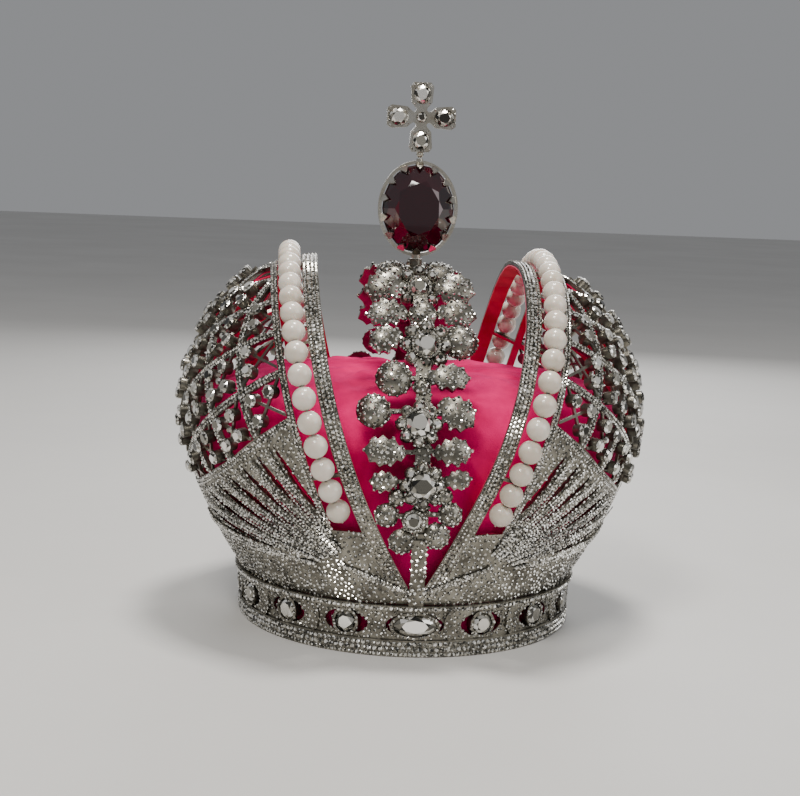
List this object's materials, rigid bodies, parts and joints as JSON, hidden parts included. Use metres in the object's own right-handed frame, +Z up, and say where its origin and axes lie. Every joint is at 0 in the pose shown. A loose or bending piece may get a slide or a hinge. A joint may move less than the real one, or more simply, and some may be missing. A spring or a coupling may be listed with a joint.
{
  "type": "arched crown",
  "caption": "Arched crown: jewelled band, two open-work half domes edged with pearls, an arch of leaves, a cloth cap, a red stone and a cross.",
  "frame": {"origin": "centre of the bottom rim's bounding box, on the plane the crown rests on", "axes": "+Z up through the cross, -Y towards the front, +X to the right seen from the front"},
  "size_m": [0.2432, 0.2138, 0.275],
  "materials": {
    "silver": "polished",
    "diamond": "clear",
    "pearl": "gloss",
    "thread": "matte",
    "lining": "satin",
    "velvet": "matte",
    "red_stone": "clear"
  },
  "bodies": {
    "root": {"circlet": "silver", "circlet_stone_01": "diamond", "circlet_stone_02": "diamond", "circlet_stone_03": "diamond", "circlet_stone_04": "diamond", "circlet_stone_05": "diamond", "circlet_stone_06": "diamond", "circlet_stone_07": "diamond", "circlet_stone_08": "diamond", "circlet_stone_09": "diamond", "circlet_stone_10": "diamond", "circlet_stone_11": "diamond", "circlet_stone_12": "diamond", "circlet_stone_13": "diamond", "circlet_stone_14": "diamond", "circlet_stone_15": "diamond", "circlet_stone_16": "diamond", "left_dome": "silver", "left_lining": "lining", "left_rosettes": "diamond", "left_pearls": "pearl", "left_pearl_thread": "thread", "right_dome": "silver", "right_lining": "lining", "right_rosettes": "diamond", "right_pearls": "pearl", "right_pearl_thread": "thread", "arch_garland": "silver", "garland_stone_front_1": "diamond", "garland_stone_front_2": "diamond", "garland_stone_front_3": "diamond", "garland_stone_front_4": "diamond", "garland_stone_front_5": "diamond", "garland_stone_back_1": "diamond", "garland_stone_back_2": "diamond", "garland_stone_back_3": "diamond", "garland_stone_back_4": "diamond", "garland_stone_back_5": "diamond", "velvet_cap": "velvet", "red_stone": "red_stone", "red_stone_setting": "silver", "cross": "silver", "cross_stone_right": "diamond", "cross_stone_top": "diamond", "cross_stone_left": "diamond", "cross_stone_bottom": "diamond", "cross_stone_middle": "diamond"}
  },
  "joints": []
}
